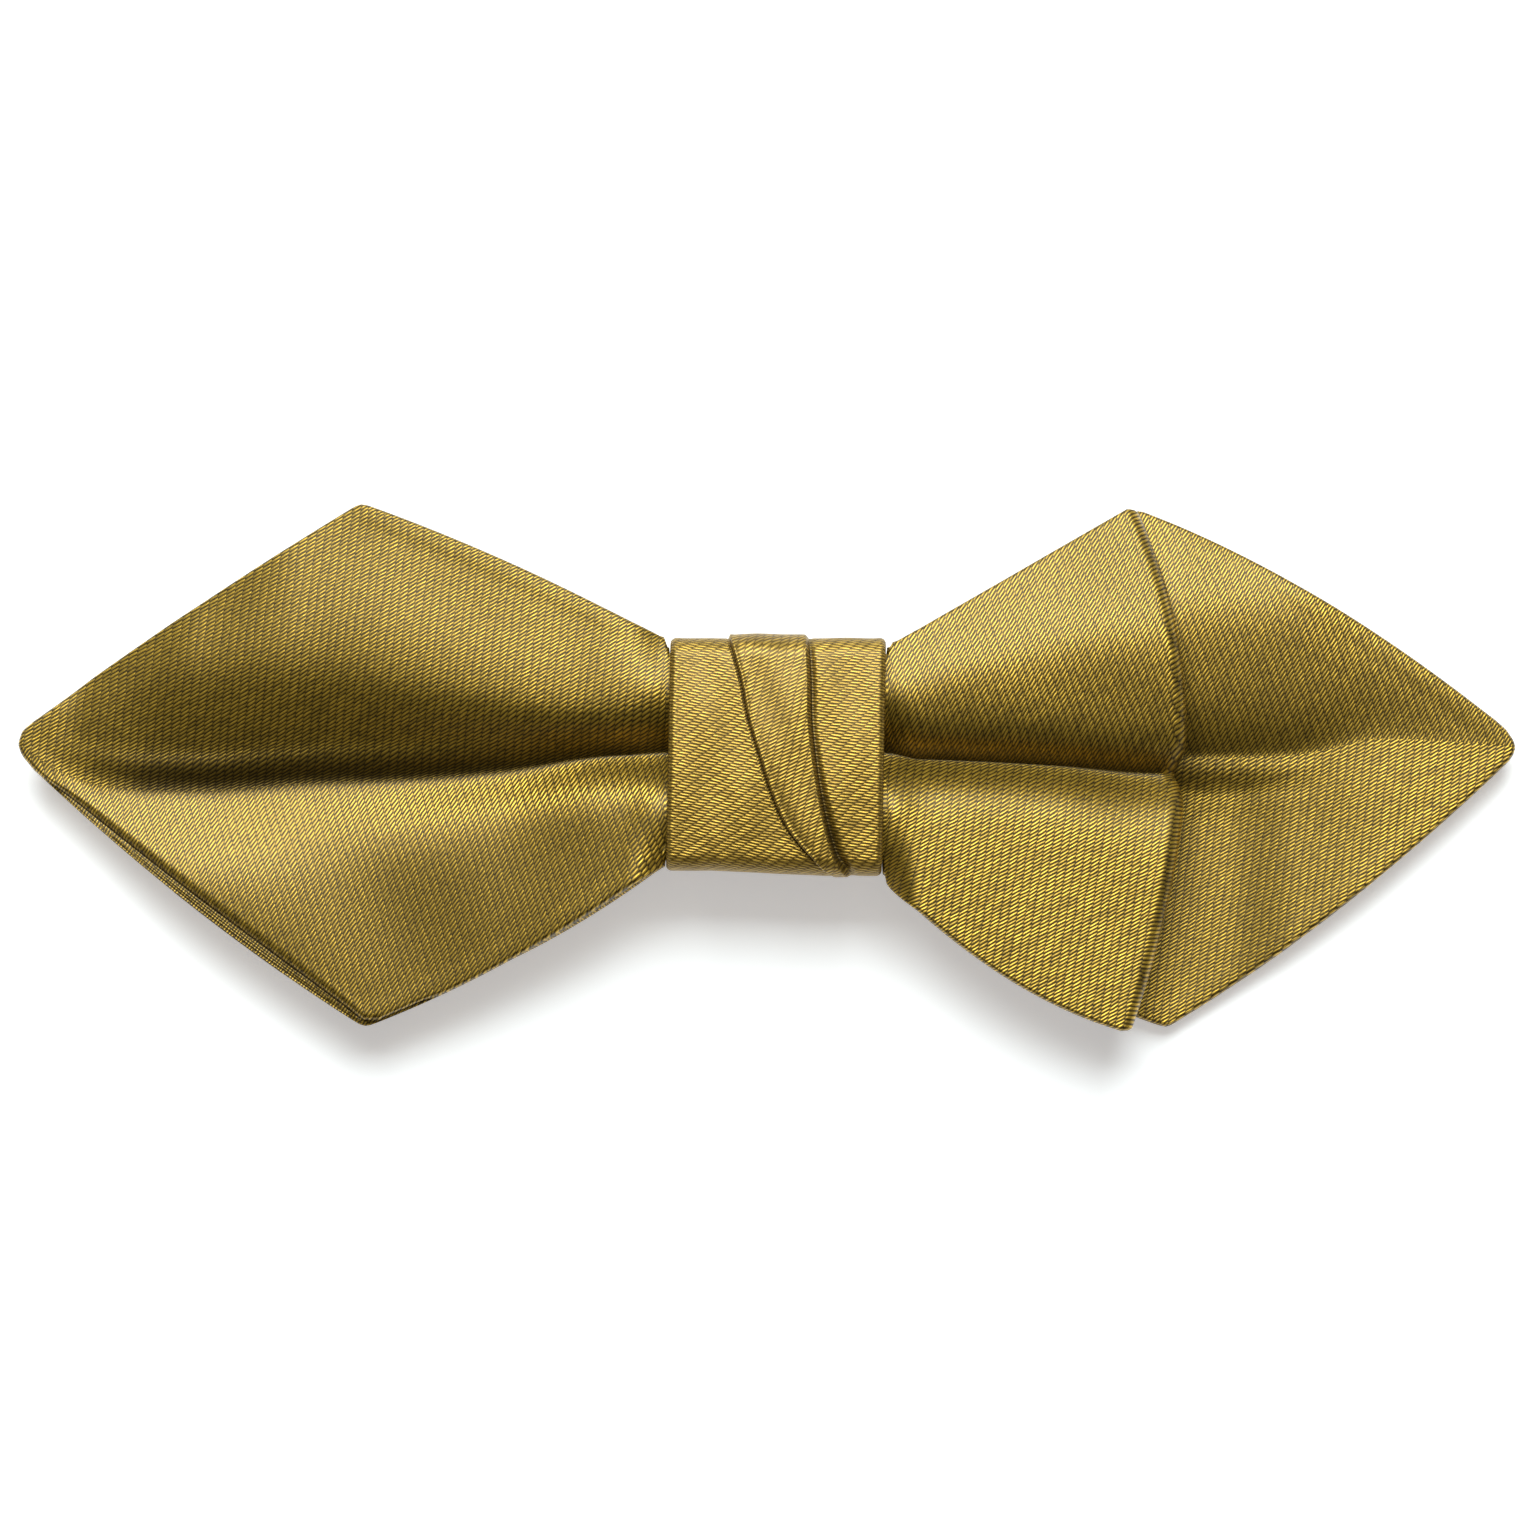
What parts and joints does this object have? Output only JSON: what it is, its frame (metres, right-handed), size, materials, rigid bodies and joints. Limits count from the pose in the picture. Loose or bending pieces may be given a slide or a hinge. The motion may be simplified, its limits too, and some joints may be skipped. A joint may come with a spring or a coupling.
{
  "type": "pre-tied diamond point bow tie with a spring clip",
  "caption": "Pre-tied satin bow with a pointed diamond leaf and a folded loop on each side, a wrapped band with a slanting pleat as its knot, and a hidden hairpin clip behind.",
  "frame": {"origin": "on the flat back face of the clip, behind the centre of the knot; the bow lies on this face", "axes": "+X along the bow, to the right when it is seen from the front, +Y to its upper edge, +Z out of its front"},
  "size_m": [0.1205, 0.042, 0.0144],
  "materials": {
    "bow_satin": "antique gold satin twill",
    "knot_satin": "antique gold satin twill, bias cut",
    "clip_steel": "brushed spring steel"
  },
  "bodies": {
    "root": {"front_bow": "bow_satin", "rear_bow": "bow_satin", "knot_band": "knot_satin", "collar_clip": "clip_steel"}
  },
  "joints": []
}
